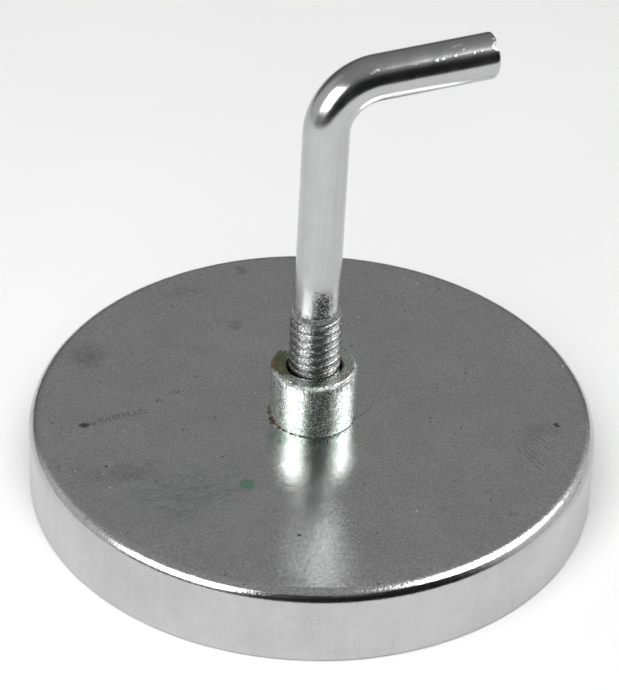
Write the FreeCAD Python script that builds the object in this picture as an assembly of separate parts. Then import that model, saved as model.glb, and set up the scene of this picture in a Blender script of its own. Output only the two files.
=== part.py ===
import FreeCAD, Part

import math
import os

# Pot magnet with a threaded boss and a bent rod hook screwed into it.
# Frame: origin at the centre of the pot's rim plane, +Z up the rod, +X the way the arm points.
# Driving dimensions are in millimetres and degrees.

CUP_DIAMETER = 85.0
CUP_HEIGHT = 12.3
CUP_ROOF = 3.0
CUP_WALL = 3.0
CUP_SHOULDER_RADIUS = 2.2
CUP_LIP_CHAMFER = 0.4

RING_BORE = 24.0
RING_RECESS = 0.3
RING_CHAMFER = 0.4
FILM_THICKNESS = 0.2
POTTING_GAP = 1.0
POTTING_RECESS = 0.8

BOSS_DIAMETER = 13.0
BOSS_HEIGHT = 8.95
BOSS_CHAMFER = 0.45
SPIGOT_DIAMETER = 10.6
STAKED_HEAD_DIAMETER = 13.2
STAKED_HEAD_HEIGHT = 0.8
BORE_CLEARANCE = 0.06
MOUTH_COUNTERSINK = 0.45

THREAD_MAJOR = 7.94
THREAD_PITCH = 25.4 / 18
THREAD_END_Z = 32.5
ROD_FOOT_Z = 9.8
ROD_FOOT_CHAMFER = 0.7
SHANK_DIAMETER = 6.8
RUN_OUT_LENGTH = 0.9
RUN_OUT_OVERLAP = 0.6

SHANK_LEAN = 4.4
SHANK_HEADING = 58.4
BEND_START_Z = 60.75
BEND_RADIUS = 7.85
ARM_RISE = 3.0
ARM_STRAIGHT = 17.65
ARM_EDGE_RADIUS = 0.3
NOTCH_WIDTH = 1.5
NOTCH_DEPTH = 0.8
NOTCH_TILT = 48.5

# Worked out from the driving dimensions.
CUP_RADIUS = CUP_DIAMETER / 2
CAVITY_RADIUS = CUP_RADIUS - CUP_WALL
CAVITY_HEIGHT = CUP_HEIGHT - CUP_ROOF
RING_RADIUS = CAVITY_RADIUS - POTTING_GAP
RING_TOP_Z = CAVITY_HEIGHT - FILM_THICKNESS
BOSS_TOP_Z = CUP_HEIGHT + BOSS_HEIGHT
BORE_RADIUS = THREAD_MAJOR / 2 + BORE_CLEARANCE
SHANK_RADIUS = SHANK_DIAMETER / 2
CREST_END_Z = THREAD_END_Z - RUN_OUT_LENGTH
SHANK_START_Z = THREAD_END_Z - RUN_OUT_LENGTH / 2


def at_height(z):
    return FreeCAD.Vector(0, 0, z)


def ring(outer_radius, inner_radius, z_low, z_high):
    """A plain ring about the Z axis."""
    height = z_high - z_low
    outside = Part.makeCylinder(outer_radius, height, at_height(z_low))
    return outside.cut(Part.makeCylinder(inner_radius, height, at_height(z_low)))


def circles_at(shape, z, radius):
    """The circular edges of a turned shape that lie at one height with one radius."""
    found = []
    for edge in shape.Edges:
        if not isinstance(edge.Curve, Part.Circle):
            continue
        if abs(edge.Curve.Center.z - z) < 1e-6 and abs(edge.Curve.Radius - radius) < 1e-6:
            found.append(edge)
    return found


def magnet_cup():
    """The pressed pot: a flat roof with a rounded shoulder, a short wall, and a hole for the spigot."""
    blank = Part.makeCylinder(CUP_RADIUS, CUP_HEIGHT)
    blank = blank.makeFillet(CUP_SHOULDER_RADIUS, circles_at(blank, CUP_HEIGHT, CUP_RADIUS))
    blank = blank.makeChamfer(CUP_LIP_CHAMFER, circles_at(blank, 0, CUP_RADIUS))
    hollow = blank.cut(Part.makeCylinder(CAVITY_RADIUS, CAVITY_HEIGHT))
    spigot_hole = Part.makeCylinder(SPIGOT_DIAMETER / 2, CUP_ROOF, at_height(CAVITY_HEIGHT))
    return hollow.cut(spigot_hole)


def threaded_bush():
    """The boss on the roof, its spigot through the roof, and the head staked over beneath it."""
    boss_radius = BOSS_DIAMETER / 2
    boss = Part.makeCylinder(boss_radius, BOSS_HEIGHT, at_height(CUP_HEIGHT))
    boss = boss.makeChamfer(BOSS_CHAMFER, circles_at(boss, BOSS_TOP_Z, boss_radius))
    spigot = Part.makeCylinder(SPIGOT_DIAMETER / 2, CUP_ROOF, at_height(CAVITY_HEIGHT))
    head_low_z = CAVITY_HEIGHT - STAKED_HEAD_HEIGHT
    head_radius = STAKED_HEAD_DIAMETER / 2
    head = Part.makeCone(head_radius - STAKED_HEAD_HEIGHT, head_radius,
                         STAKED_HEAD_HEIGHT, at_height(head_low_z))
    body = boss.fuse([spigot, head])
    bore = Part.makeCylinder(BORE_RADIUS, BOSS_TOP_Z - head_low_z, at_height(head_low_z))
    countersink = Part.makeCone(BORE_RADIUS, BORE_RADIUS + MOUTH_COUNTERSINK,
                                MOUTH_COUNTERSINK, at_height(BOSS_TOP_Z - MOUTH_COUNTERSINK))
    return body.cut([bore, countersink])


def ring_magnet():
    """The ferrite ring, with small chamfers round its free face."""
    magnet = ring(RING_RADIUS, RING_BORE / 2, RING_RECESS, RING_TOP_Z)
    free_edges = circles_at(magnet, RING_RECESS, RING_RADIUS)
    free_edges += circles_at(magnet, RING_RECESS, RING_BORE / 2)
    return magnet.makeChamfer(RING_CHAMFER, free_edges)


def bond_film():
    """The adhesive between the ring and the roof, squeezed out as far as the wall."""
    return ring(CAVITY_RADIUS, RING_BORE / 2, RING_TOP_Z, CAVITY_HEIGHT)


def rim_potting():
    """The resin between the ring and the wall, its free face below the ring's chamfer."""
    return ring(CAVITY_RADIUS, RING_RADIUS, POTTING_RECESS, RING_TOP_Z)


def thread_groove():
    """A 60 degree groove along a helix, which leaves flat crests an eighth of the pitch wide."""
    crest_radius = THREAD_MAJOR / 2
    sharp_height = THREAD_PITCH * math.sqrt(3) / 2
    root_radius = crest_radius - sharp_height * 5 / 8
    outer_radius = crest_radius + sharp_height / 16
    root_half_width = THREAD_PITCH / 8
    outer_half_width = root_half_width + (outer_radius - root_radius) * math.tan(math.radians(30))
    start_z = ROD_FOOT_Z - THREAD_PITCH
    helix = Part.makeLongHelix(THREAD_PITCH, CREST_END_Z - start_z, root_radius, 0)
    helix.translate(at_height(start_z))
    corners = [
        FreeCAD.Vector(root_radius, 0, start_z - root_half_width),
        FreeCAD.Vector(outer_radius, 0, start_z - outer_half_width),
        FreeCAD.Vector(outer_radius, 0, start_z + outer_half_width),
        FreeCAD.Vector(root_radius, 0, start_z + root_half_width),
    ]
    section = Part.makePolygon(corners + corners[:1])
    return Part.Wire(helix.Edges).makePipeShell([section], True, True)


def thread_blank():
    """The lower rod before its thread is cut: chamfered foot and a cone that ends inside the shank."""
    crest_radius = THREAD_MAJOR / 2
    blank = Part.makeCylinder(crest_radius, CREST_END_Z - ROD_FOOT_Z, at_height(ROD_FOOT_Z))
    blank = blank.makeChamfer(ROD_FOOT_CHAMFER, circles_at(blank, ROD_FOOT_Z, crest_radius))
    slope = (crest_radius - SHANK_RADIUS) / RUN_OUT_LENGTH
    run_out = Part.makeCone(crest_radius, SHANK_RADIUS - slope * RUN_OUT_OVERLAP,
                            RUN_OUT_LENGTH + RUN_OUT_OVERLAP, at_height(CREST_END_Z))
    return blank.fuse(run_out)


def tilted(angle, heading=0):
    """The direction that leans an angle from +Z, where the heading is turned from +X; both in degrees."""
    lean, turn = math.radians(angle), math.radians(heading)
    return FreeCAD.Vector(math.sin(lean) * math.cos(turn), math.sin(lean) * math.sin(turn), math.cos(lean))


def bend_point(share):
    """The point on the rod's centreline where its bend has turned through a share of its whole angle."""
    shank, arm = tilted(SHANK_LEAN, SHANK_HEADING), tilted(90 - ARM_RISE)
    inward = (arm - shank * arm.dot(shank)).normalize()
    start = at_height(SHANK_START_Z) + shank * ((BEND_START_Z - SHANK_START_Z) / shank.z)
    turned = share * arm.getAngle(shank)
    return start + (shank * math.sin(turned) + inward * (1 - math.cos(turned))) * BEND_RADIUS


def arm_frame():
    """The centre of the arm's end face, the arm's direction and the direction square above it."""
    along = tilted(90 - ARM_RISE)
    return bend_point(1) + along * ARM_STRAIGHT, along, tilted(-ARM_RISE)


def bent_length():
    """The upper rod: a shank that leans a little back and aside, a round bend and the straight arm.

    The shank starts inside the thread's run-out, so the two join with no step.
    """
    tip, _, _ = arm_frame()
    path = Part.Wire([
        Part.makeLine(at_height(SHANK_START_Z), bend_point(0)),
        Part.Arc(bend_point(0), bend_point(0.5), bend_point(1)).toShape(),
        Part.makeLine(bend_point(1), tip),
    ])
    circle = Part.makeCircle(SHANK_RADIUS, at_height(SHANK_START_Z), tilted(SHANK_LEAN, SHANK_HEADING))
    rod = path.makePipeShell([Part.Wire(circle)], True, True)
    end_edges = [e for e in rod.Edges if isinstance(e.Curve, Part.Circle)
                 and e.Curve.Center.distanceToPoint(tip) < 1e-3]
    return rod.makeFillet(ARM_EDGE_RADIUS, end_edges)


def tip_notch():
    """A slot with a rounded bottom, right across the arm's end face."""
    tip, along, above = arm_frame()
    tilt = math.radians(NOTCH_TILT)
    across = FreeCAD.Vector(0, -math.cos(tilt), 0) + above * math.sin(tilt)
    length = 2 * SHANK_DIAMETER
    radius = NOTCH_WIDTH / 2
    bottom = tip - along * (NOTCH_DEPTH - radius) - across * (length / 2)
    rounded = Part.makeCylinder(radius, length, bottom, across)
    sideways = along.cross(across)
    corners = [
        bottom - sideways * radius,
        bottom + sideways * radius,
        bottom + sideways * radius + along * NOTCH_DEPTH,
        bottom - sideways * radius + along * NOTCH_DEPTH,
    ]
    straight = Part.Face(Part.makePolygon(corners + corners[:1])).extrude(across * length)
    return rounded.fuse(straight)


def hook_rod():
    """One rod from its threaded foot to the notched tip of its arm."""
    return thread_blank().fuse(bent_length()).cut([thread_groove(), tip_notch()])


def single_solid(shape):
    """The one solid that a sub-part is made of."""
    solids = shape.removeSplitter().Solids
    if len(solids) != 1 or not solids[0].isValid():
        raise ValueError("a sub-part has to be one valid solid")
    return solids[0]


SUB_PARTS = (magnet_cup, threaded_bush, ring_magnet, bond_film, rim_potting, hook_rod)

os.makedirs("parts", exist_ok=True)
for make in SUB_PARTS:
    solid = single_solid(make())
    solid.exportStep("parts/" + make.__name__ + ".step")
    print(make.__name__, round(solid.Volume, 1), "mm3", solid.BoundBox)
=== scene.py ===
import math

import bmesh
import bpy
import numpy as np
from mathutils import Matrix, Vector


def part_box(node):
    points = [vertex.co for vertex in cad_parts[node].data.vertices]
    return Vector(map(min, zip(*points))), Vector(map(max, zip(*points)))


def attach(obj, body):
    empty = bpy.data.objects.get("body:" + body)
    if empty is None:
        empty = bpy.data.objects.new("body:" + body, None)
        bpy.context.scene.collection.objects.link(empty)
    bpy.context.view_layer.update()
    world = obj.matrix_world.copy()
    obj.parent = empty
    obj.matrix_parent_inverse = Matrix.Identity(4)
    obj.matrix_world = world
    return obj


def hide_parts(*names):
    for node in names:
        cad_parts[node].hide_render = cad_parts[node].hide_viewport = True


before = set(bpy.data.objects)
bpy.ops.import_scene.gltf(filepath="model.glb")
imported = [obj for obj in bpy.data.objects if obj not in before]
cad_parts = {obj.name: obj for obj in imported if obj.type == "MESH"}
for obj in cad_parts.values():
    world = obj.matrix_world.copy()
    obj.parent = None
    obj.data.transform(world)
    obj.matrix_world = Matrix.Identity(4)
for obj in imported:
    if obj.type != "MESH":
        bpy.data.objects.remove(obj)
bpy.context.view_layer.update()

MM = 0.001

# Places and sizes that the frame gives, in metres.
CUP_LOW, CUP_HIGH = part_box("magnet_cup")
BUSH_LOW, BUSH_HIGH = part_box("threaded_bush")
RING_LOW, RING_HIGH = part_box("ring_magnet")
FILM_LOW, FILM_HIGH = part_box("bond_film")
POTTING_LOW, POTTING_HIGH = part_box("rim_potting")
ROD_LOW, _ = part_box("hook_rod")
CUP_RADIUS = 42.5 * MM
CUP_TOP = CUP_HIGH.z
CAVITY_RADIUS = 39.5 * MM
CAVITY_TOP = FILM_HIGH.z

# The pot's pressed edges.
SHOULDER_RADIUS = 2.2 * MM
LIP_RADIUS = 0.4 * MM

# The boss.
BOSS_RADIUS = 6.5 * MM
BOSS_TOP = BUSH_HIGH.z
BOSS_CHAMFER = 0.45 * MM
BORE_RADIUS = 4.03 * MM
MOUTH_RADIUS = 4.48 * MM
SPIGOT_RADIUS = 5.3 * MM
HEAD_RADIUS = 6.6 * MM
HEAD_LOW = BUSH_LOW.z

# The ring magnet, its glue and its potting.
RING_BORE = 12.0 * MM
RING_RADIUS = 38.5 * MM
RING_CHAMFER = 0.4 * MM

# The rod's thread: its crests sink over THREAD_FADE to LAST_CREST, and its last ring ends at LAST_RING.
THREAD_CREST = 3.87 * MM
THREAD_ROOT = 3.62 * MM
LAST_CREST = 3.50 * MM
THREAD_PITCH = 25.4 / 18 * MM
THREAD_END = 32.5 * MM
LAST_RING = THREAD_END - 0.8 * MM
THREAD_FADE = 1.3 * MM
THREAD_ROWS = 24
FOOT = ROD_LOW.z
FOOT_CHAMFER = 0.7 * MM

# The plain rod: a leaning shank, a bend and the arm with its notched end.
RUN_OUT = 0.9 * MM
SHANK_RADIUS = 3.4 * MM
SHANK_START = THREAD_END - RUN_OUT / 2
SHANK_LEAN = math.radians(4.4)
SHANK_HEADING = math.radians(58.4)
BEND_START = 60.75 * MM
BEND_RADIUS = 7.85 * MM
BEND_FLATTENING = 0.10 * MM
ARM_RISE = math.radians(3.0)
ARM_STRAIGHT = 17.65 * MM
ARM_EDGE = 0.3 * MM
NOTCH_WIDTH = 1.5 * MM
NOTCH_DEPTH = 0.8 * MM
NOTCH_TILT = math.radians(48.5)
# The attribute that holds where each point of the rod would be if the rod were straight, in millimetres.
STRAIGHT_PLACE = "straight_place"

# Wear and other small shapes that the frame doesn't have.
ROOF_ROLL_OFF = 0.10 * MM
TIP_WEAR = 0.7 * MM
TIP_WORN_SIDE = math.radians(-48)
BORE_THREAD_DEPTH = 0.33 * MM
CLOGGED_SIDE = math.radians(-90)
CLOGGED_BY = 0.48 * MM
# How far, in 1 minus the cosine of the angle, wear reaches round from its middle.
WEAR_REACH = 0.35
EDGE_DENTS = 0.06 * MM
EDGE_BATTERING = 0.022 * MM
HEAD_HAMMERING = 0.10 * MM
# Lumps of rust round the boss's foot: angle and half width in degrees, how far out and up in millimetres.
RUST_LUMPS = (
    (157, 3.0, 0.22, 0.46), (166, 2.2, 0.26, 0.22), (181, 2.6, 0.34, 0.24), (188, 2.4, 0.44, 0.26),
    (203, 2.4, 0.24, 0.16), (210, 1.8, 0.18, 0.10), (223, 2.2, 0.18, 0.10), (238, 1.6, 0.12, 0.08),
    (256, 2.0, 0.13, 0.10), (300, 2.0, 0.10, 0.08))

# The direction from the pot's middle to the side where the wall's colour is palest: painted shade darkens the
# wall's colour away from it, towards the wall's left and right.
WALL_PAINTED_LIGHT_SIDE = (-0.331, -0.944, 0.0)

# The studio: radiances, where white is 1.
ROOM_LOW_LEVEL = 0.14
ROOM_LEVEL = 0.275
ROOM_ZENITH = 0.34
GAP_LEVEL = 0.012
RIGHT_WALL_LEVEL = 0.70
LEFT_WALL_LEVEL = 0.60
# Boxes that show in the metal: name, azimuth and elevation in degrees, width and height in metres, radiance.
REFLECTED_BOXES = (
    ("left_box", -49, 31, 0.546, 0.42, 6.0),
    ("right_box", 96, 52, 0.487, 0.40, 7.0))
BOX_DISTANCE = 0.75
# The panel that lights the floor and doesn't show in the metal.
FILL_AZIMUTH = -10
FILL_ELEVATION = 60
FILL_RADIANCE = 3.9
FILL_SIZE = 0.70
FILL_DISTANCE = 0.70
LIT_POINT = Vector((0, 0, 30 * MM))
FLOOR_RADIUS = 500 * MM
FLOOR_BACK = 100 * MM

# The camera's place about the origin.
CAMERA_AZIMUTH = math.radians(-19.35)
CAMERA_ELEVATION = math.radians(36.29)
CAMERA_ROLL = math.radians(2.1)
CAMERA_DISTANCE = 514.0 * MM
CAMERA_ASIDE = -0.82 * MM
CAMERA_ABOVE = 19.83 * MM
CAMERA_LENS = 176.14


# ---- mesh helpers

def arc(centre, radius, start, end, steps):
    """Points (r, z) on an arc, with its angles in degrees from the +r direction."""
    angles = np.radians(np.linspace(start, end, steps))
    return [(centre[0] + radius * math.cos(a), centre[1] + radius * math.sin(a)) for a in angles]


def stretch(start, end, steps):
    """Evenly spaced points (r, z) from start to end, both included."""
    share = np.linspace(0, 1, steps)[:, None]
    return [tuple(p) for p in np.array(start) * (1 - share) + np.array(end) * share]


def ripple(angles, seed, waves, size):
    """A smooth closed wobble of the given size round a full turn, the same in each run."""
    draw = np.random.RandomState(seed)
    total = np.zeros_like(angles)
    for count in waves:
        total += draw.normal() * np.sin(count * angles + draw.uniform(0, 2 * math.pi))
    return size * total / math.sqrt(len(waves))


def soften(mesh, crease):
    """Smooth shading, except across edges sharper than crease in degrees."""
    shape = bmesh.new()
    shape.from_mesh(mesh)
    bmesh.ops.recalc_face_normals(shape, faces=shape.faces)
    for face in shape.faces:
        face.smooth = True
    for edge in shape.edges:
        edge.smooth = edge.calc_face_angle(0) < math.radians(crease)
    shape.to_mesh(mesh)
    shape.free()


def add_object(name, data):
    thing = bpy.data.objects.new(name, data)
    bpy.context.scene.collection.objects.link(thing)
    return thing


def make_piece(name, vertices, faces, paint, body, replaced=(), crease=35):
    mesh = bpy.data.meshes.new(name)
    mesh.from_pydata([tuple(v) for v in vertices], [], faces)
    soften(mesh, crease)
    piece = add_object(name, mesh)
    mesh.materials.append(material(paint))
    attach(piece, body)
    if replaced:
        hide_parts(*replaced)
    return piece


def wrapped_quads(rows, columns, closed_rows):
    """Quads of a grid whose columns run round a full turn."""
    quads = []
    for i in range(rows if closed_rows else rows - 1):
        for j in range(columns):
            k = (j + 1) % columns
            n = (i + 1) % rows
            quads.append((i * columns + j, i * columns + k, n * columns + k, n * columns + j))
    return quads


def lathe(profile, segments, shape=None):
    """Vertices and faces of a closed outline turned about Z.

    The outline runs anticlockwise in the (r, z) plane. shape(angles, r, z) may change the grids r and z.
    """
    outline = np.array(profile)
    angles = np.linspace(0, 2 * math.pi, segments, endpoint=False)
    r = np.repeat(outline[:, :1], segments, axis=1)
    z = np.repeat(outline[:, 1:], segments, axis=1)
    turn = np.repeat(angles[None, :], len(outline), axis=0)
    if shape:
        r, z = shape(turn, r, z)
    points = np.stack([r * np.cos(turn), r * np.sin(turn), z], axis=2).reshape(-1, 3)
    return points, wrapped_quads(len(outline), segments, True)


# ---- node helpers

# The colour sockets of a Mix node, which share their names with its other sockets.
MIX_FIRST_COLOUR = 6
MIX_COLOUR_RESULT = 2


class Graph:
    """A node tree, with short calls for the nodes that the materials and the room here use."""

    def __init__(self, tree):
        self.tree = tree
        tree.nodes.clear()

    def add(self, kind, **settings):
        node = self.tree.nodes.new(kind)
        for key, value in settings.items():
            setattr(node, key, value)
        return node

    def feed(self, socket, value):
        if isinstance(value, bpy.types.NodeSocket):
            self.tree.links.new(value, socket)
        elif isinstance(value, (tuple, list)) and len(value) == 3 and socket.type == "RGBA":
            socket.default_value = (*value, 1.0)
        else:
            socket.default_value = value

    def fill(self, node, **values):
        """Feed a node's inputs by name, with _ for a space."""
        for name, value in values.items():
            self.feed(node.inputs[name.replace("_", " ")], value)

    def fill_in_order(self, node, values):
        for socket, value in zip(node.inputs, values):
            self.feed(socket, value)

    def math(self, operation, *values):
        node = self.add("ShaderNodeMath", operation=operation)
        self.fill_in_order(node, values)
        return node.outputs[0]

    def vector(self, operation, *values):
        node = self.add("ShaderNodeVectorMath", operation=operation)
        self.fill_in_order(node, values)
        return node.outputs["Value" if operation in ("LENGTH", "DOT_PRODUCT") else "Vector"]

    def place(self):
        """The point in the row frame, in millimetres."""
        source = self.add("ShaderNodeTexCoord").outputs["Object"]
        return self.vector("MULTIPLY", source, (1000.0, 1000.0, 1000.0))

    def split(self, vector):
        node = self.add("ShaderNodeSeparateXYZ")
        self.feed(node.inputs[0], vector)
        return node.outputs

    def join(self, x, y, z):
        node = self.add("ShaderNodeCombineXYZ")
        self.fill_in_order(node, (x, y, z))
        return node.outputs[0]

    def noise(self, vector, scale, detail=3.0, roughness=0.5, distortion=0.0, output="Fac"):
        node = self.add("ShaderNodeTexNoise")
        self.fill(node, Vector=vector, Scale=scale, Detail=detail, Roughness=roughness, Distortion=distortion)
        return node.outputs[output]

    def cells(self, vector, scale, output="Distance"):
        node = self.add("ShaderNodeTexVoronoi")
        self.fill(node, Vector=vector, Scale=scale)
        return node.outputs[output]

    def remap(self, value, low, high, to_low=0.0, to_high=1.0, smooth=False):
        curve = "SMOOTHSTEP" if smooth else "LINEAR"
        node = self.add("ShaderNodeMapRange", clamp=True, interpolation_type=curve)
        self.fill_in_order(node, (value, low, high, to_low, to_high))
        return node.outputs[0]

    def vary(self, noise, low=0.0, high=1.0):
        """A noise's usual range, 0.3 to 0.7, stretched over another."""
        return self.remap(noise, 0.3, 0.7, low, high)

    def mix(self, share, first, second):
        node = self.add("ShaderNodeMix", data_type="RGBA")
        self.fill(node, Factor=share)
        self.feed(node.inputs[MIX_FIRST_COLOUR], first)
        self.feed(node.inputs[MIX_FIRST_COLOUR + 1], second)
        return node.outputs[MIX_COLOUR_RESULT]

    def times(self, colour, factor):
        """A colour or vector times a number."""
        return self.vector("MULTIPLY", colour, self.join(factor, factor, factor))

    def bump(self, height, distance, strength=1.0, normal=None):
        """distance is the height in metres of a height of 1."""
        node = self.add("ShaderNodeBump")
        self.fill(node, Strength=strength, Distance=distance, Height=height)
        if normal:
            self.fill(node, Normal=normal)
        return node.outputs[0]

    def spots(self, vector, scale, size, keep, seed=0.0):
        """1 inside small round spots: keep is the share of cells that have one, size its share of a cell."""
        moved = self.vector("ADD", vector, (seed, seed * 1.7, seed * 0.6))
        near = self.remap(self.cells(moved, scale), size * 0.6, size, 1.0, 0.0)
        chance = self.split(self.cells(moved, scale, "Color"))[0]
        return self.math("MULTIPLY", near, self.math("LESS_THAN", chance, keep))

    def blob(self, vector, centre, reach, edge=0.35):
        """1 near a point, fading to 0 at an ellipsoid of the given half sizes."""
        offset = self.vector("SUBTRACT", vector, centre)
        scaled = self.vector("DIVIDE", offset, reach)
        return self.remap(self.vector("LENGTH", scaled), 1.0 - edge, 1.0, 1.0, 0.0, smooth=True)

    def stroke(self, vector, start, end, width):
        """1 on a straight line between two points, fading to 0 at its width."""
        from_start = self.vector("SUBTRACT", vector, start)
        run = Vector(end) - Vector(start)
        share = self.vector("DOT_PRODUCT", from_start, tuple(run / run.length_squared))
        share = self.math("MINIMUM", self.math("MAXIMUM", share, 0.0), 1.0)
        nearest = self.times(tuple(run), share)
        distance = self.vector("LENGTH", self.vector("SUBTRACT", from_start, nearest))
        return self.remap(distance, width * 0.35, width, 1.0, 0.0, smooth=True)

    def fold(self, operation, values):
        """The operation worked through all the values, from the first to the last."""
        result = values[0]
        for value in values[1:]:
            result = self.math(operation, result, value)
        return result

    def strongest(self, *values):
        return self.fold("MAXIMUM", values)

    def product(self, *values):
        return self.fold("MULTIPLY", values)

    def total(self, *values):
        return self.fold("ADD", values)

    def surface(self, colour, roughness, metallic=1.0, normal=None, **others):
        """The material's end: one principled shader, with others as its further inputs."""
        shader = self.add("ShaderNodeBsdfPrincipled")
        self.fill(shader, Base_Color=colour, Roughness=roughness, Metallic=metallic, **others)
        if normal:
            self.fill(shader, Normal=normal)
        self.end("ShaderNodeOutputMaterial", shader)

    def end(self, kind, shader):
        output = self.add(kind)
        self.tree.links.new(shader.outputs[0], output.inputs[0])


def material(paint):
    """A new material, filled by a function of its graph and named after it."""
    made = bpy.data.materials.new(paint.__name__)
    made.use_nodes = True
    paint(Graph(made.node_tree))
    return made


# ---- materials

def shaken(g, p, scale, size):
    """The point moved about by a smooth noise of the given size in millimetres, for ragged outlines."""
    centred = g.vector("SUBTRACT", g.noise(p, scale, output="Color"), (0.5, 0.5, 0.5))
    return g.vector("ADD", p, g.vector("MULTIPLY", centred, (size, size, size)))


def cup_marks(g, p):
    """Crisp dark marks: a streak of specks with a head, a trail of specks beyond it and single dots."""
    top = CUP_TOP / MM
    ragged = shaken(g, p, 1.6, 1.1)
    flecks = g.remap(g.noise(p, 2.6, 3.0, 0.75), 0.50, 0.60)
    streak = g.stroke(ragged, (-33.7, 6.1, top), (-24.2, 7.1, top), 0.95)
    head = g.blob(ragged, (-33.9, 6.1, top), (1.2, 0.55, 2.0), 0.5)
    trail = g.strongest(
        g.blob(ragged, (-21.5, 9.0, top), (1.1, 0.7, 2.0), 0.6),
        g.blob(ragged, (-18.4, 10.2, top), (1.3, 0.7, 2.0), 0.6),
        g.blob(ragged, (-14.3, 13.2, top), (0.9, 0.6, 2.0), 0.6))
    dots = g.strongest(
        g.blob(ragged, (-33.3, -4.3, top), (0.35, 0.35, 2.0), 0.5),
        g.blob(p, (-10.9, -27.2, top), (0.34, 0.30, 1.0), 0.4),
        g.blob(ragged, (34.2, -13.3, top), (0.5, 0.8, 2.0), 0.5))
    return g.strongest(g.product(streak, flecks, 0.85), g.product(head, 0.85),
                       g.product(trail, flecks, 0.85), g.product(dots, 0.9))


def cup_smudges(g, p):
    """Soft dark smudges, partly rubbed off."""
    top = CUP_TOP / MM
    soft = shaken(g, p, 0.35, 4.0)
    smudges = g.strongest(
        g.product(g.blob(soft, (-28.9, 22.6, top), (4.2, 4.6, 4.0), 0.9), 0.8),
        g.blob(soft, (0.2, 38.0, top), (1.5, 1.7, 3.0), 0.8),
        g.product(g.blob(soft, (-4.4, 24.1, top), (1.5, 1.5, 3.0), 0.8), 0.7),
        g.product(g.blob(soft, (-9.9, 34.6, top), (4.5, 2.2, 4.0), 0.9), 0.5),
        g.product(g.blob(soft, (-30.5, -6.5, top), (8.0, 3.6, 4.0), 0.9), 0.7),
        g.product(g.blob(soft, (31.3, -13.7, top), (4.0, 3.0, 4.0), 0.9), 0.5))
    rubbed = g.remap(g.noise(p, 0.9, 5.0, 0.75), 0.42, 0.60, 0.2, 1.0)
    return g.product(smudges, rubbed, 0.55)


def cup_scratches(g, p):
    """Thin marks: a parallel group near the right rim, an arc and a hairline off the boss."""
    top = CUP_TOP / MM
    bent = shaken(g, p, 0.25, 0.9)
    lines = []
    for step in range(7):
        aside = 0.62 * step
        start = (26.3 + aside, -16.2 + 0.5 * aside, top)
        end = (28.0 + aside, -22.5 + 1.2 * aside, top)
        lines.append(g.stroke(bent, start, end, 0.22))
    for start, end, width in (((17.2, -25.8), (20.3, -24.4), 0.16), ((20.3, -24.4), (24.3, -21.7), 0.12),
                              ((6.0, -3.1), (8.6, -1.6), 0.3), ((8.6, -1.6), (12.0, 3.2), 0.14)):
        lines.append(g.stroke(bent, (*start, top), (*end, top), width))
    return g.strongest(*lines)


def clean_plate(g, p, patch, grain, on_side):
    """The pot's plate with no marks: mottled and grained, and on the wall drawn, with painted shade that
    leaves the wall's colour palest in front and darker towards its left and right.
    """
    x, y, _ = g.split(p)
    mottle = g.noise(p, 0.09, 5.0, 0.6)
    drawn = g.noise(g.vector("MULTIPLY", p, (1.0, 1.0, 0.08)), 0.5, 4.0, 0.7)
    darkest_grain = g.remap(on_side, 0.0, 1.0, 0.70, 0.92)
    palest_grain = g.remap(on_side, 0.0, 1.0, 1.30, 1.08)
    tone = g.product(g.vary(mottle, 0.94, 1.05), g.vary(patch, 0.965, 1.03),
                     g.remap(grain, 0.28, 0.72, darkest_grain, palest_grain))
    side = g.vary(drawn, 0.83, 0.89)
    # Painted shade: the wall's colour is darkened away from its front, towards its left and right.
    toward_painted_light_side = g.vector("DOT_PRODUCT", g.vector("NORMALIZE", g.join(x, y, 0.0)), WALL_PAINTED_LIGHT_SIDE)
    side = g.product(side, g.remap(toward_painted_light_side, 0.0, 0.6, 0.68, 1.0, smooth=True))
    side = g.total(g.product(side, on_side), g.math("SUBTRACT", 1.0, on_side))
    return g.times((0.60, 0.605, 0.60), g.product(tone, side))


def green_tints(g, p, colour, patch, grain):
    """Thin green film: round the boss, at its foot on the left, and a swept haze towards the left."""
    top = CUP_TOP / MM
    near_boss = g.blob(shaken(g, p, 0.35, 3.0), (-1.5, -5.0, top), (8.5, 9.0, 6.0), 0.7)
    film = g.product(near_boss, g.remap(patch, 0.40, 0.60), 0.55)
    at_foot = g.blob(shaken(g, p, 0.9, 2.6), (-6.4, -4.6, top), (2.6, 3.2, 3.0), 0.9)
    at_foot = g.product(at_foot, g.remap(grain, 0.40, 0.56), 0.7)
    swept = g.vector("MULTIPLY", p, (0.9, 2.2, 1.0))
    haze = g.blob(shaken(g, p, 0.2, 6.0), (-23.0, -13.5, top), (13.0, 8.5, 6.0), 0.9)
    haze = g.product(haze, g.remap(g.noise(swept, 0.35, 5.0, 0.7, 1.5), 0.42, 0.60), 0.75)
    colour = g.mix(film, colour, (0.36, 0.50, 0.40))
    colour = g.mix(haze, colour, (0.36, 0.43, 0.39))
    return g.mix(at_foot, colour, (0.16, 0.24, 0.17))


def pale_dust(g, p):
    """Pale specks, most of them near the left rim."""
    specks = g.spots(p, 0.42, 0.09, 0.10, seed=31.0)
    left_specks = g.spots(p, 0.8, 0.16, 0.16, seed=53.0)
    near_left_rim = g.blob(p, (-37.0, -4.0, CUP_TOP / MM), (9.0, 14.0, 6.0), 0.6)
    return g.strongest(specks, g.product(left_specks, near_left_rim))


def cup_relief(g, p, grain, scratches, dust, scuffs):
    """The plate's normal: grain, dust, scratches and scuffs, over slow waves."""
    height = g.total(grain, g.product(dust, 1.5))
    height = g.math("SUBTRACT", height, g.product(scratches, 0.3))
    fine = g.bump(g.total(height, scuffs), 0.018 * MM)
    return g.bump(g.noise(p, 0.07, 2.0), 0.05 * MM, 0.6, fine)


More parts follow.
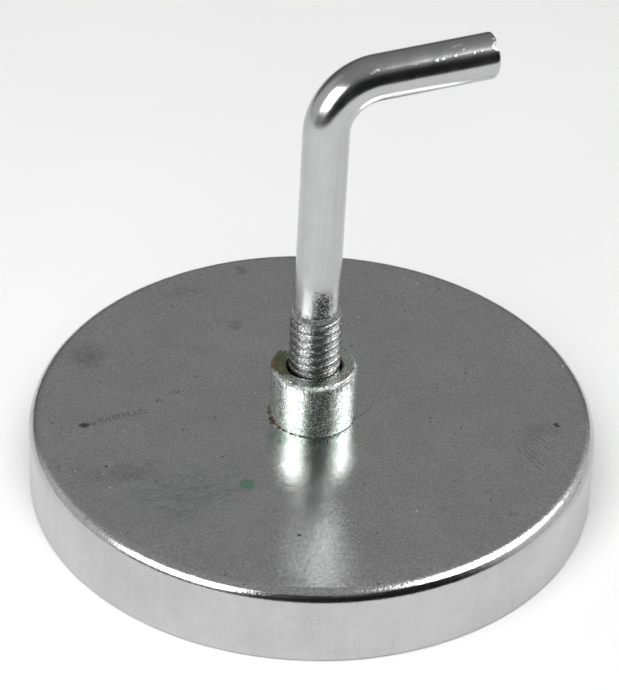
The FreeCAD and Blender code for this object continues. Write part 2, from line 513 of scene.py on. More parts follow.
def plated_cup(g):
    """Satin nickel plate: a fine grain, soft mottling, stains, green film, dust and a few scratches."""
    p = g.place()
    x, y, _ = g.split(p)
    radius = g.vector("LENGTH", g.join(x, y, 0.0))
    on_side = g.remap(radius, 41.7, 42.45)
    on_top = g.math("SUBTRACT", 1.0, on_side)
    patch = g.noise(p, 0.45, 4.0, 0.6)
    grain = g.noise(p, 3.4, 3.0, 0.7)

    stains = g.strongest(cup_marks(g, p), cup_smudges(g, p))
    scratches = cup_scratches(g, p)
    dark_specks = g.spots(p, 0.55, 0.14, 0.12)
    dust = pale_dust(g, p)
    on_shoulder = g.remap(radius, 40.0, 40.6)
    scuffs = g.product(g.noise(p, 0.9, 4.0, 0.7), on_shoulder, on_top, 3.0)
    green_dot = g.blob(shaken(g, p, 1.1, 0.9), (-14.6, -14.0, CUP_TOP / MM), (1.35, 1.5, 2.0), 0.35)

    colour = clean_plate(g, p, patch, grain, on_side)
    colour = green_tints(g, p, colour, patch, grain)
    colour = g.mix(stains, colour, (0.045, 0.045, 0.045))
    colour = g.mix(g.product(dark_specks, on_top, 0.6), colour, (0.10, 0.10, 0.10))
    colour = g.mix(g.product(scratches, 0.30), colour, (0.16, 0.17, 0.17))
    colour = g.mix(g.product(green_dot, 0.75), colour, (0.09, 0.27, 0.12))
    colour = g.mix(g.product(dust, 0.6), colour, (0.85, 0.87, 0.85))

    dull = g.strongest(stains, dust, green_dot)
    roughness = g.total(g.vary(patch, 0.135, 0.175), g.product(dull, 0.30))
    g.surface(colour, roughness, normal=cup_relief(g, p, grain, scratches, dust, scuffs))


def boss_stains(g, p, colour, pits, on_face, radius):
    """The stained end face: olive at its left with a brown rim and a rust spot, green in front.

    Gives the colour and how dull each place is.
    """
    face = BOSS_TOP / MM
    ragged = shaken(g, p, 1.3, 2.4)
    stained = g.product(g.blob(ragged, (-4.4, 1.4, face), (2.8, 5.4, 1.5), 0.5), on_face)
    spotted = g.remap(g.noise(p, 2.2, 3.0, 0.7), 0.46, 0.56)
    rim_share = g.remap(radius, 5.5, 6.0)
    brown_rim = g.product(g.blob(ragged, (-5.6, 3.2, face), (2.6, 5.2, 1.2), 0.4), rim_share)
    rust_spot = g.blob(ragged, (-6.1, 1.6, face), (0.9, 1.1, 0.9), 0.5)
    green_front = g.product(g.blob(ragged, (-1.9, -4.6, face), (4.4, 2.2, 1.5), 0.7), on_face)
    olive = g.times((0.062, 0.068, 0.032), g.remap(pits, 0.38, 0.62, 0.25, 1.6))
    colour = g.mix(stained, colour, olive)
    colour = g.mix(g.product(stained, spotted, 0.7), colour, (0.030, 0.042, 0.016))
    colour = g.mix(g.product(brown_rim, 0.9), colour, (0.045, 0.035, 0.012))
    colour = g.mix(g.product(rust_spot, 0.8), colour, (0.085, 0.036, 0.008))
    colour = g.mix(g.product(green_front, 0.6), colour, (0.20, 0.29, 0.22))
    return colour, g.strongest(stained, brown_rim, rust_spot)


def plated_boss(g):
    """The turned boss: bright plate broken up by small pits, with a stained end face, green film and painted
    shade in its bore.
    """
    p = g.place()
    x, y, z = g.split(p)
    radius = g.vector("LENGTH", g.join(x, y, 0.0))
    on_face = g.product(g.remap(z, 21.12, 21.2), g.remap(radius, 4.1, 4.35))
    on_edge = g.product(g.remap(z, 20.7, 20.85), g.remap(radius, 5.95, 6.1))
    # Painted shade: the bore below the end face is coloured nearly black.
    in_bore = g.product(g.remap(radius, 4.6, 4.7, 1.0, 0.0), g.remap(z, 20.9, 21.2, 1.0, 0.0))

    pits = g.noise(p, 3.6, 3.0, 0.7)
    patch = g.noise(p, 0.55, 4.0, 0.65)
    grains = g.remap(g.noise(p, 4.2, 3.0, 0.75), 0.56, 0.63)
    rings = g.noise(g.join(g.product(radius, 5.0), g.product(z, 5.0), 0.0), 1.6, 2.0, 0.6)
    film = g.noise(p, 1.3, 4.0, 0.75)

    colour = g.times((0.78, 0.79, 0.785), g.remap(pits, 0.36, 0.56, 0.60, 1.12))
    colour = g.mix(g.product(g.remap(film, 0.47, 0.58), 0.65), colour, (0.26, 0.38, 0.29))
    worn_face = g.times((0.52, 0.53, 0.52), g.remap(pits, 0.35, 0.65, 0.70, 1.15))
    colour = g.mix(g.product(on_face, 0.6), colour, worn_face)
    worn_edge = g.remap(g.noise(p, 2.4, 4.0, 0.8), 0.42, 0.58, 0.90, 0.15)
    colour = g.mix(g.product(on_edge, worn_edge), colour, (0.13, 0.15, 0.135))
    colour = g.mix(g.product(grains, 0.6), colour, (0.42, 0.50, 0.44))
    colour, dull = boss_stains(g, p, colour, pits, on_face, radius)
    # Painted shade darkens the bore.
    colour = g.mix(g.product(in_bore, 0.85), colour, (0.05, 0.045, 0.04))

    roughness = g.total(g.vary(patch, 0.19, 0.24), g.product(dull, 0.45),
                        g.product(on_edge, 0.10), g.product(grains, 0.30))
    height = g.total(g.product(pits, g.total(1.0, g.product(on_edge, 2.0))), g.product(rings, 0.10))
    metal = g.math("SUBTRACT", 1.0, g.strongest(dull, g.product(grains, 0.5)))
    g.surface(colour, roughness, metal, g.bump(height, 0.045 * MM))


def rod_point(turn, along):
    """A point on the rod's skin as its material sees it: degrees round the rod and millimetres along it."""
    r = SHANK_RADIUS / MM
    return (r * math.cos(math.radians(turn)), r * math.sin(math.radians(turn)), along)


def rod_nicks(g, p):
    """Small bright nicks along the arm's side, a rubbed place above them and one fleck on the bend."""
    places = ((-133, 80.6, 0.30), (-132.4, 81.5, 0.26), (-136, 83.4, 0.22), (-133, 86.2, 0.22),
              (-134, 87.4, 0.14), (-133, 88.5, 0.12), (-147, 84.8, 0.15), (-132, 77.4, 0.13),
              (-163, 89.6, 0.20))
    full_size = 0.28
    spots = []
    for turn, along, size in places:
        spot = g.blob(p, rod_point(turn, along), (size, size, size * 1.3), 0.7)
        spots.append(g.product(spot, min(1.0, size / full_size)))
    rubbed = g.stroke(p, rod_point(-160, 83.5), rod_point(-164, 84.8), 0.36)
    fleck = g.stroke(p, rod_point(-133, 71.2), rod_point(-138, 71.9), 0.30)
    return g.strongest(*spots, g.product(rubbed, 0.35), g.product(fleck, 0.45))


def zinc_rod(g):
    """Bright zinc on a drawn rod: faint lines along it, grime in the thread, painted shade in the thread's
    roots, near-black specks of painted reflection on the shank's front above the thread, nicks on the arm.
    """
    p = g.add("ShaderNodeAttribute", attribute_name=STRAIGHT_PLACE).outputs["Vector"]
    x, y, along = g.split(p)
    low = g.remap(along, 33.0, 40.0, 1.0, 0.0, smooth=True)
    on_thread = g.remap(along, 31.8, 32.4, 1.0, 0.0)
    radius = g.vector("LENGTH", g.join(x, y, 0.0))
    # Painted shade: the thread's roots are darkened.
    root_painted_shade = g.product(g.remap(radius, 3.64, 3.76, 1.0, 0.0), g.remap(along, 30.6, 31.6, 1.0, 0.0))

    draw_lines = g.noise(g.vector("MULTIPLY", p, (1.0, 1.0, 0.03)), 2.2, 4.0, 0.6)
    patch = g.noise(p, 0.4, 4.0, 0.6)
    pits = g.noise(p, 3.0, 4.0, 0.8)
    grain = g.noise(p, 5.0, 2.0, 0.6)

    tone = g.product(g.vary(draw_lines, 0.95, 1.04), g.vary(patch, 0.94, 1.05), g.vary(grain, 0.96, 1.04))
    colour = g.times((0.50, 0.502, 0.505), tone)
    # The near-black specks on the shank's front just above the thread are painted reflection, standing in for
    # the dark reflection that falls there; round the thread the same specks are grime.
    front = g.blob(shaken(g, p, 0.8, 1.6), rod_point(-92, 33.6), (2.4, 2.4, 3.4), 0.7)
    grime_and_painted_reflection = g.product(g.remap(pits, 0.44, 0.50), g.strongest(front, g.product(on_thread, 0.75)))
    colour = g.mix(g.product(grime_and_painted_reflection, 0.95), colour, (0.025, 0.027, 0.025))
    # Painted shade in the thread's roots.
    colour = g.mix(g.product(root_painted_shade, 0.6), colour, (0.12, 0.12, 0.115))

    ragged = shaken(g, p, 1.5, 0.5)
    nicks = rod_nicks(g, ragged)
    colour = g.mix(g.product(nicks, 0.6), colour, (0.80, 0.83, 0.80))
    score = g.stroke(ragged, rod_point(-115, 36.1), rod_point(-90, 35.6), 0.16)
    colour = g.mix(g.product(score, 0.8), colour, (0.06, 0.06, 0.06))

    roughness = g.total(g.vary(patch, 0.16, 0.22), g.product(nicks, 0.3))
    uneven = g.strongest(g.product(low, 0.5), g.product(front, 0.9), g.product(on_thread, 0.8))
    height = g.total(g.product(pits, g.total(uneven, 0.02)), g.product(draw_lines, 0.02),
                     g.product(nicks, 0.5))
    g.surface(colour, roughness, normal=g.bump(height, 0.055 * MM))


def ferrite(g):
    """Hard ferrite: dark grey, ground on its face, with tiny pores."""
    p = g.place()
    ground = g.noise(g.vector("MULTIPLY", p, (0.12, 2.4, 1.0)), 1.0, 4.0, 0.6)
    pores = g.spots(p, 1.6, 0.18, 0.3)
    patch = g.noise(p, 0.25, 4.0, 0.6)
    tone = g.product(g.vary(ground, 0.85, 1.2), g.vary(patch, 0.9, 1.15))
    colour = g.times((0.055, 0.056, 0.06), tone)
    colour = g.mix(pores, colour, (0.015, 0.015, 0.016))
    roughness = g.vary(ground, 0.42, 0.58)
    height = g.math("SUBTRACT", g.product(ground, 0.3), pores)
    g.surface(colour, roughness, 0.0, g.bump(height, 0.03 * MM, 0.8))


def glue(g):
    """The squeezed-out bond: yellowish, waxy, with small bubbles."""
    p = g.place()
    patch = g.noise(p, 0.7, 4.0, 0.6)
    bubbles = g.spots(p, 1.3, 0.25, 0.3)
    colour = g.mix(g.vary(patch), (0.50, 0.42, 0.24), (0.62, 0.55, 0.36))
    colour = g.mix(g.product(bubbles, 0.6), colour, (0.30, 0.24, 0.12))
    roughness = g.vary(patch, 0.30, 0.45)
    height = g.math("SUBTRACT", patch, g.product(bubbles, 0.4))
    g.surface(colour, roughness, 0.0, g.bump(height, 0.08 * MM, 0.6), Coat_Weight=0.2)


def resin(g):
    """Dark potting resin with a dull skin, pinholes and settled dust."""
    p = g.place()
    patch = g.noise(p, 0.9, 4.0, 0.6)
    pinholes = g.spots(p, 1.5, 0.2, 0.25)
    dust = g.spots(p, 2.6, 0.2, 0.2, seed=11.0)
    colour = g.mix(g.vary(patch), (0.022, 0.022, 0.024), (0.050, 0.048, 0.045))
    colour = g.mix(g.product(dust, 0.5), colour, (0.30, 0.29, 0.27))
    roughness = g.vary(patch, 0.35, 0.55)
    height = g.math("SUBTRACT", patch, pinholes)
    g.surface(colour, roughness, 0.0, g.bump(height, 0.06 * MM, 0.6))


def seam_deposit(g):
    """What gathers in the seam round the boss: dark green with orange-brown rust at its left."""
    p = g.place()
    patch = g.noise(p, 1.1, 3.0, 0.7)
    crumbs = g.noise(p, 4.5, 4.0, 0.75)
    rusty = g.blob(shaken(g, p, 0.8, 2.0), (-6.6, -0.6, CUP_TOP / MM), (2.4, 4.4, 2.0), 0.5)
    green = g.mix(g.remap(patch, 0.42, 0.58), (0.012, 0.040, 0.016), (0.034, 0.050, 0.014))
    rust = g.mix(g.remap(patch, 0.40, 0.60), (0.035, 0.014, 0.004), (0.095, 0.042, 0.008))
    colour = g.mix(rusty, green, rust)
    colour = g.times(colour, g.vary(crumbs, 0.6, 1.3))
    g.surface(colour, 0.85, 0.0, g.bump(crumbs, 0.12 * MM, 0.9))


def pale_floor(g):
    """A matt, nearly even white."""
    tone = g.vary(g.noise(g.place(), 0.02, 2.0), 0.89, 0.91)
    g.surface(g.times((1.0, 1.0, 1.0), tone), 0.9, 0.0, Specular_IOR_Level=0.1)


# ---- the pot

def cup_profile():
    """The pressed pot's section, anticlockwise: up the inner wall, over the roof and down to the lip."""
    roof_edge = CUP_RADIUS - SHOULDER_RADIUS
    inner_corner = 0.5 * MM
    outline = stretch((CAVITY_RADIUS - inner_corner, CAVITY_TOP), (SPIGOT_RADIUS, CAVITY_TOP), 12)
    outline += stretch((SPIGOT_RADIUS, CUP_TOP), (roof_edge - 3.2 * MM, CUP_TOP), 34)
    outline += [(roof_edge - d * MM, CUP_TOP) for d in (2.6, 2.0, 1.5, 1.0, 0.5)]
    outline += arc((roof_edge, CUP_TOP - SHOULDER_RADIUS), SHOULDER_RADIUS, 90, 0, 26)
    outline += stretch((CUP_RADIUS, CUP_TOP - SHOULDER_RADIUS - 0.3 * MM), (CUP_RADIUS, 1.0 * MM), 10)
    outline += arc((CUP_RADIUS - LIP_RADIUS, LIP_RADIUS), LIP_RADIUS, 0, -90, 6)
    outline += [(CAVITY_RADIUS + 0.25 * MM, 0.0), (CAVITY_RADIUS + 0.05 * MM, 0.08 * MM)]
    outline += stretch((CAVITY_RADIUS, 0.3 * MM), (CAVITY_RADIUS, CAVITY_TOP - inner_corner), 6)
    outline += arc((CAVITY_RADIUS - inner_corner, CAVITY_TOP - inner_corner), inner_corner, 0, 90, 5)[1:-1]
    return outline[::-1]


def cup_shape(turn, r, z):
    """The roof rolls off towards the shoulder and is a little wavy; the wall is a little out of round."""
    roof_edge_share = np.clip((r / MM - 36.0) / 4.4, 0, 1)
    outside = z > CAVITY_TOP + 0.5 * MM
    roll_off = ROOF_ROLL_OFF * roof_edge_share ** 2
    wave = ripple(turn, 5, (2, 3, 5), 0.012 * MM) * np.clip(r / MM / 30, 0, 1)
    share_of_roof = np.clip((z - (CUP_TOP - SHOULDER_RADIUS)) / SHOULDER_RADIUS, 0, 1)
    z = np.where(outside, z - roll_off * share_of_roof - np.abs(wave) * share_of_roof, z)
    squeeze = np.abs(ripple(turn, 8, (2, 3, 4, 7), 0.03 * MM))
    wall = r > CUP_RADIUS - 0.6 * MM
    return np.where(wall, r - squeeze, r), z


def thread_height(turn, z, start):
    """Share of the groove's depth that stands above its root, at an angle and a height.

    The groove rises anticlockwise by one pitch a turn, and its centre starts at start on the +X side.
    """
    pitches = (z - start) / THREAD_PITCH - turn / (2 * math.pi)
    off_centre = np.abs(pitches - np.round(pitches))
    ramp = np.clip((off_centre - 0.03) / 0.14, 0, 1)
    crown = 0.12 * (1 - np.clip((off_centre - 0.14) / 0.36, 0, 1)) ** 2
    return 0.5 - 0.5 * np.cos(math.pi * ramp) - crown * ramp


def boss_profile():
    """The boss, its spigot through the roof and the staked head under it, anticlockwise."""
    rows_per_pitch = 14
    bore_rows = int((BOSS_TOP - HEAD_LOW) / THREAD_PITCH * rows_per_pitch)
    countersink = MOUTH_RADIUS - BORE_RADIUS
    worn = 0.06 * MM
    chamfer_low = BOSS_TOP - BOSS_CHAMFER
    outline = [(BOSS_RADIUS, chamfer_low - worn)]
    outline += stretch((BOSS_RADIUS - worn, chamfer_low + worn),
                       (BOSS_RADIUS - BOSS_CHAMFER, BOSS_TOP - worn), 5)
    outline += stretch((BOSS_RADIUS - BOSS_CHAMFER - 0.15 * MM, BOSS_TOP),
                       (MOUTH_RADIUS + 0.1 * MM, BOSS_TOP), 7)
    outline += [(MOUTH_RADIUS, BOSS_TOP - 0.02 * MM)]
    outline += stretch((BORE_RADIUS, BOSS_TOP - countersink), (BORE_RADIUS, HEAD_LOW + 0.15 * MM), bore_rows)
    outline += [(BORE_RADIUS + 0.12 * MM, HEAD_LOW + 0.02 * MM)]
    outline += stretch((BORE_RADIUS + 0.3 * MM, HEAD_LOW), (HEAD_RADIUS - 0.95 * MM, HEAD_LOW), 4)
    outline += arc((HEAD_RADIUS - 0.8 * MM, CAVITY_TOP), 0.78 * MM, -85, 0, 8)
    outline += [(SPIGOT_RADIUS, CAVITY_TOP), (SPIGOT_RADIUS, CUP_TOP), (BOSS_RADIUS - 0.02 * MM, CUP_TOP)]
    outline += stretch((BOSS_RADIUS, CUP_TOP + 0.08 * MM), (BOSS_RADIUS, chamfer_low - 0.2 * MM), 14)
    return outline


def worn_share(angles, side):
    """1 at a side of a round piece, falling to 0 away from it."""
    return np.exp(-((np.cos(angles - side) - 1) / WEAR_REACH) ** 2)


def bore_shape(turn, r, z):
    """The bore's thread, which fades out at both ends, and the mouth that is clogged on one side."""
    in_bore = (np.abs(r - BORE_RADIUS) < 1e-7) & (z < BOSS_TOP - 0.5 * MM)
    groove = (1 - thread_height(turn, z + 0.2 * MM, FOOT)) * BORE_THREAD_DEPTH
    mouth = (r > BORE_RADIUS + 0.01 * MM) & (r < MOUTH_RADIUS + 0.2 * MM) & (z > BOSS_TOP - 0.3 * MM)
    r = np.where(mouth, r - CLOGGED_BY * worn_share(turn, CLOGGED_SIDE), r)
    fade = 0.8 * MM
    ends = np.clip((BOSS_TOP - z) / fade, 0, 1) * np.clip((z - HEAD_LOW) / fade, 0, 1)
    return np.where(in_bore, r + groove * ends, r)


def edge_shape(turn, r, z):
    """The boss's top edge, dented and battered all round."""
    edge = (r > BOSS_RADIUS - 0.6 * MM) & (z > BOSS_TOP - 0.65 * MM)
    dents = np.abs(ripple(turn, 21, (9, 14, 23, 37, 53, 71), EDGE_DENTS))
    r = np.where(edge, r - dents, r)
    battered = np.random.RandomState(61).normal(size=r.shape)
    battered = np.abs(battered + np.roll(battered, 1, axis=1)) * EDGE_BATTERING
    on_chamfer = edge & (r > BOSS_RADIUS - BOSS_CHAMFER - 0.25 * MM)
    r = np.where(on_chamfer, r - battered, r)
    z = np.where(on_chamfer, z - np.roll(battered, 5, axis=1), z)
    return r, z


def head_shape(turn, r, z):
    """Hammer marks on the staked head."""
    hammered = np.abs(ripple(turn, 34, (5, 8, 13), HEAD_HAMMERING))
    on_head = (z < CAVITY_TOP - 0.01 * MM) & (r > BORE_RADIUS + 0.2 * MM)
    z = np.where(on_head, z + hammered * np.clip((CAVITY_TOP - z) / (0.8 * MM), 0, 1) * 0.6, z)
    r = np.where(on_head & (r > SPIGOT_RADIUS), r - hammered * 0.8, r)
    return r, z


def boss_shape(turn, r, z):
    """All that sets the boss apart from its plain outline."""
    r = bore_shape(turn, r, z)
    r, z = edge_shape(turn, r, z)
    return head_shape(turn, r, z)


def magnet_profile():
    low = RING_LOW.z
    high = RING_HIGH.z
    outline = [(RING_BORE + RING_CHAMFER, low)]
    outline += stretch((RING_BORE + 1.0 * MM, low), (RING_RADIUS - 1.0 * MM, low), 14)
    outline += [(RING_RADIUS - RING_CHAMFER, low), (RING_RADIUS, low + RING_CHAMFER)]
    outline += stretch((RING_RADIUS, low + 1.5 * MM), (RING_RADIUS, high), 4)
    outline += stretch((RING_RADIUS - 2 * MM, high), (RING_BORE, high), 6)
    outline += stretch((RING_BORE, high - 1.5 * MM), (RING_BORE, low + RING_CHAMFER), 5)
    return outline


def magnet_shape(turn, r, z):
    """Chips along the two free edges."""
    chips = np.clip(ripple(turn, 13, (11, 17, 29, 43), 1.0) - 1.25, 0, 1) * 0.55 * MM
    low_rows = z < RING_LOW.z + 0.45 * MM
    inner = low_rows & (r < RING_BORE + 0.5 * MM)
    outer = low_rows & (r > RING_RADIUS - 0.5 * MM)
    r = np.where(inner, r + chips, r)
    r = np.where(outer, r - np.roll(chips, 40, axis=1), r)
    z = np.where(inner | outer, z + chips * 0.5, z)
    return r, z


def film_profile():
    low = FILM_LOW.z
    high = FILM_HIGH.z
    outline = [(RING_BORE - 0.1 * MM, low - 0.02 * MM), (RING_BORE + 0.4 * MM, low)]
    outline += stretch((RING_BORE + 2 * MM, low), (CAVITY_RADIUS, low), 4)
    outline += stretch((CAVITY_RADIUS, high), (RING_BORE + 0.4 * MM, high), 4)
    outline += [(RING_BORE - 0.35 * MM, high), (RING_BORE - 0.55 * MM, high - 0.06 * MM)]
    outline += [(RING_BORE - 0.45 * MM, low + 0.02 * MM)]
    return outline


def film_shape(turn, r, z):
    """The bead squeezed out into the magnet's hole is uneven."""
    free = r < RING_BORE
    bead = ripple(turn, 17, (3, 5, 8, 13), 0.22 * MM)
    r = np.where(free, r - np.clip(bead, -0.1 * MM, 0.6 * MM), r)
    z = np.where(free & (z < FILM_LOW.z + 0.1 * MM), z - np.clip(bead, 0, 0.4 * MM) * 0.8, z)
    return r, z


def potting_profile():
    low = POTTING_LOW.z
    high = POTTING_HIGH.z
    middle = (RING_RADIUS + CAVITY_RADIUS) / 2
    outline = [(RING_RADIUS, low - 0.12 * MM), (RING_RADIUS + 0.15 * MM, low)]
    outline += [(middle, low + 0.10 * MM), (CAVITY_RADIUS - 0.15 * MM, low)]
    outline += [(CAVITY_RADIUS, low - 0.15 * MM)]
    outline += stretch((CAVITY_RADIUS, low + 2 * MM), (CAVITY_RADIUS, high), 3)
    outline += stretch((RING_RADIUS, high), (RING_RADIUS, low + 2 * MM), 3)
    return outline


def potting_shape(turn, r, z):
    """The free face rises and sinks a little, with a few burst bubbles."""
    free = z < POTTING_LOW.z + 0.5 * MM
    level = ripple(turn, 19, (2, 5, 9, 16), 0.06 * MM)
    bubbles = np.clip(ripple(turn, 23, (31, 47, 59), 1.0) - 1.7, 0, 1) * 0.4 * MM
    return r, np.where(free, z + level + bubbles, z)


# ---- the rod

def tilted(angle, heading=0.0):
    """The direction that leans an angle from +Z, where the heading is turned from +X; both in radians."""
    flat = math.sin(angle)
    return np.array([flat * math.cos(heading), flat * math.sin(heading), math.cos(angle)])


SHANK_WAY = tilted(SHANK_LEAN, SHANK_HEADING)
ARM_WAY = tilted(math.pi / 2 - ARM_RISE)
BEND_TURN = math.acos(SHANK_WAY @ ARM_WAY)
INWARD = (ARM_WAY - SHANK_WAY * math.cos(BEND_TURN)) / math.sin(BEND_TURN)
SIDE_WAY = np.cross(SHANK_WAY, INWARD)
SHANK_RUN = (BEND_START - SHANK_START) / SHANK_WAY[2]


def rod_section(s):
    """The rod's centre and the two directions of its section; s is a height in the thread, then a run."""
    blend = np.clip((s - THREAD_END + RUN_OUT) / RUN_OUT, 0, 1)
    across = np.array([1.0, 0.0, 0.0]) * (1 - blend) + INWARD * blend
    aside = np.array([0.0, 1.0, 0.0]) * (1 - blend) + SIDE_WAY * blend
    run = s - SHANK_START
    if run <= 0:
        return np.array([0.0, 0.0, s]), across, aside
    start = np.array([0.0, 0.0, SHANK_START])
    if run <= SHANK_RUN:
        return start + SHANK_WAY * run, across, aside
    turned = min((run - SHANK_RUN) / BEND_RADIUS, BEND_TURN)
    beyond = max(run - SHANK_RUN - BEND_TURN * BEND_RADIUS, 0.0)
    bent = SHANK_WAY * math.sin(turned) + INWARD * (1 - math.cos(turned))
    centre = start + SHANK_WAY * SHANK_RUN + bent * BEND_RADIUS + ARM_WAY * beyond
    return centre, INWARD * math.cos(turned) - SHANK_WAY * math.sin(turned), SIDE_WAY


def notch_columns():
    """Angles from the notch's own direction for half a ring, and which of them lie in the notch."""
    inside = math.asin(NOTCH_WIDTH / 2 / SHANK_RADIUS)
    outside = math.asin(NOTCH_WIDTH / 2 / (SHANK_RADIUS - ARM_EDGE))
    land = np.linspace(outside, math.pi / 2, 24)[:-1]
    notch = np.linspace(-inside, inside, 11)
    angles = np.concatenate([-land[::-1], notch, land])
    return angles, np.abs(angles) < (inside + outside) / 2


def rod_angles(half):
    """A full ring of angles about the rod, from the half ring between two poles."""
    start = math.pi / 2 - NOTCH_TILT + math.pi
    ring_angles = np.concatenate([[-math.pi / 2], half, [math.pi / 2], math.pi - half[::-1]])
    return start + ring_angles


def thread_rows(angles):
    """Heights and radii from the rod's foot to the end of its thread, where the crests fade out."""
    steps = int(round((THREAD_END - FOOT) / THREAD_PITCH * THREAD_ROWS))
    nicks = ripple(angles, 51, (3, 7, 11, 17), 0.012 * MM)
    rows = []
    for z in np.linspace(FOOT, THREAD_END, steps):
        fade = np.clip((LAST_RING - z) / THREAD_FADE, 0, 1)
        crest = LAST_CREST + (THREAD_CREST - LAST_CREST) * fade
        depth = (crest - SHANK_RADIUS) * (1 - fade) + (crest - THREAD_ROOT) * fade
        radius = crest - depth * (1 - thread_height(angles, z, FOOT)) * min(fade * 2.0, 1.0)
        radius = radius - np.abs(np.roll(nicks, int(z / THREAD_PITCH * 7)))
        chamfer = THREAD_CREST - FOOT_CHAMFER + (z - FOOT)
        run_out = SHANK_RADIUS + max(LAST_RING + 0.15 * MM - z, 0.0)
        rows.append((z, np.minimum(radius, np.minimum(chamfer, run_out))))
    return rows


def bent_rows(angles):
    """Runs and radii of the plain rod from the thread to near the tip, and the runs at its two ends."""
    shank_end = SHANK_START + SHANK_RUN
    bend_end = shank_end + BEND_TURN * BEND_RADIUS
    arm_end = bend_end + ARM_STRAIGHT - NOTCH_DEPTH - 0.5 * MM
    runs = np.concatenate([np.linspace(THREAD_END + 0.2 * MM, shank_end, 36),
                           np.linspace(shank_end, bend_end, 42)[1:],
                           np.linspace(bend_end, arm_end, 22)[1:]])
    rows = []
    for s in runs:
        bent = math.sin(math.pi * np.clip((s - shank_end) / (bend_end - shank_end), 0, 1))
        flattened = BEND_FLATTENING * bent * np.clip(-np.cos(angles), 0, 1) ** 2
        waviness = 0.004 * MM * (1 + np.sin(3 * angles + s / (2.1 * MM)))
        rows.append((s, SHANK_RADIUS - flattened - waviness * np.clip((s - THREAD_END) / MM, 0, 1)))
    return rows, arm_end, bend_end + ARM_STRAIGHT


def tip_rows(angles, half, in_notch, arm_end, tip):
    """Runs and radii of the last rings, which dip into the notch and round over at the worn edge."""
    half_side = np.sin(half) * SHANK_RADIUS
    notch_radius = NOTCH_WIDTH / 2
    round_floor = np.sqrt(np.clip(notch_radius ** 2 - half_side ** 2, 0, 1))
    half_depth = np.where(in_notch, NOTCH_DEPTH - notch_radius + round_floor, 0)
    depth = np.concatenate([[0.0], half_depth, [0.0], half_depth[::-1]])
    ring_in_notch = np.concatenate([[False], in_notch, [False], in_notch[::-1]])
    top = tip - depth
    edge = np.where(ring_in_notch, 0.05 * MM, ARM_EDGE + TIP_WEAR * worn_share(angles, TIP_WORN_SIDE))
    rows = []
    for share in (0.35, 0.7, 1.0):
        rows.append((arm_end + (top - edge - arm_end) * share, np.full(len(angles), SHANK_RADIUS)))
    for turn in np.radians((18, 36, 54, 72, 90)):
        rows.append((top - edge * (1 - math.sin(turn)), SHANK_RADIUS - edge * (1 - math.cos(turn))))
    return rows


def rod():
    """The whole rod as one closed mesh: foot, thread, shank, bend, arm and the notched end."""
    half, in_notch = notch_columns()
    angles = rod_angles(half)
    columns = len(angles)
    foot_radius = THREAD_CREST - FOOT_CHAMFER
    rows = [(FOOT + 0.04 * MM * (1 - k), np.full(columns, k * foot_radius)) for k in (0.2, 0.5, 0.8)]
    rows += thread_rows(angles)
    plain, arm_end, tip = bent_rows(angles)
    grid = [(np.full(columns, s), r) for s, r in rows + plain]
    grid += tip_rows(angles, half, in_notch, arm_end, tip)

    vertices = []
    straight = []
    for runs, radii in grid:
        for s, r, a in zip(runs, radii, angles):
            centre, across, aside = rod_section(s)
            vertices.append(centre + r * (math.cos(a) * across + math.sin(a) * aside))
            straight.append((r * math.cos(a), r * math.sin(a), s))
    faces = wrapped_quads(len(grid), columns, False)
    faces.append(tuple(range(columns))[::-1])
    add_notched_end(vertices, straight, faces, (len(grid) - 1) * columns, len(half))
    return vertices, straight, faces


def add_notched_end(vertices, straight, faces, first, lines):
    """Fill the last ring with strips that run along the notch, so that it keeps its shape."""
    steps = 8
    grid = []
    for k in range(lines):
        near = first + 1 + k
        far = first + 2 * lines + 1 - k
        line = [near]
        for i in range(1, steps):
            share = i / steps
            vertices.append(vertices[near] * (1 - share) + vertices[far] * share)
            straight.append(tuple(np.array(straight[near]) * (1 - share) + np.array(straight[far]) * share))
            line.append(len(vertices) - 1)
        grid.append(line + [far])
    for before, after in zip(grid, grid[1:]):
        for i in range(steps):
            faces.append((before[i], after[i], after[i + 1], before[i + 1]))
    faces.append((first, *grid[0]))
    faces.append((first + lines + 1, *grid[-1][::-1]))


# ---- the seam round the boss

def deposit_profile():
    """A low bead against the boss's foot; its shape function gives it its size."""
    hidden = 0.06 * MM
    outline = [(BOSS_RADIUS - hidden, CUP_TOP - hidden), (BOSS_RADIUS + 1.0, CUP_TOP - hidden)]
    outline += arc((BOSS_RADIUS, CUP_TOP), 1.0, 0, 90, 7)
    outline += [(BOSS_RADIUS - hidden, CUP_TOP + 1.0)]
    return outline


def deposit_shape(turn, r, z):
    """Turns the unit bead into a broken line with lumps of rust at the left."""
    uneven = ripple(turn, 41, (7, 13, 19, 31, 53, 71), 0.55)
    width = 0.05 + 0.13 * uneven + 0.05 * ripple(turn, 43, (90, 120, 151), 1.0)
    height = 0.04 + 0.08 * uneven
    for degrees, reach, out, up in RUST_LUMPS:
        off = (np.degrees(turn) - degrees + 180) % 360 - 180
        lump = np.exp(-(off / reach) ** 2)
        width = width + out * lump
        height = height + up * lump
    width = np.clip(width, -0.05, 0.75) * MM
    height = np.clip(height, -0.05, 0.75) * MM
    r = np.where(r > BOSS_RADIUS, BOSS_RADIUS + (r - BOSS_RADIUS) * width, r)
    z = np.where(z > CUP_TOP, CUP_TOP + (z - CUP_TOP) * height, z)
    return r, z


# ---- the stage

def from_camera_side(azimuth, elevation):
    """A direction seen from the object, in degrees to the right of the camera and above the floor."""
    turned = CAMERA_AZIMUTH + math.radians(azimuth)
    flat = math.cos(math.radians(elevation))
    return Vector((math.sin(turned) * flat, -math.cos(turned) * flat, math.sin(math.radians(elevation))))


def soft_box(name, direction, distance, width, height, radiance):
    light = bpy.data.lights.new(name, "AREA")
    light.shape = "RECTANGLE"
    light.size = width
    light.size_y = height
    light.energy = radiance * math.pi * width * height
    box = add_object(name, light)
    box.location = LIT_POINT + direction * distance
    box.rotation_euler = direction.to_track_quat("Z", "Y").to_euler()
    return box


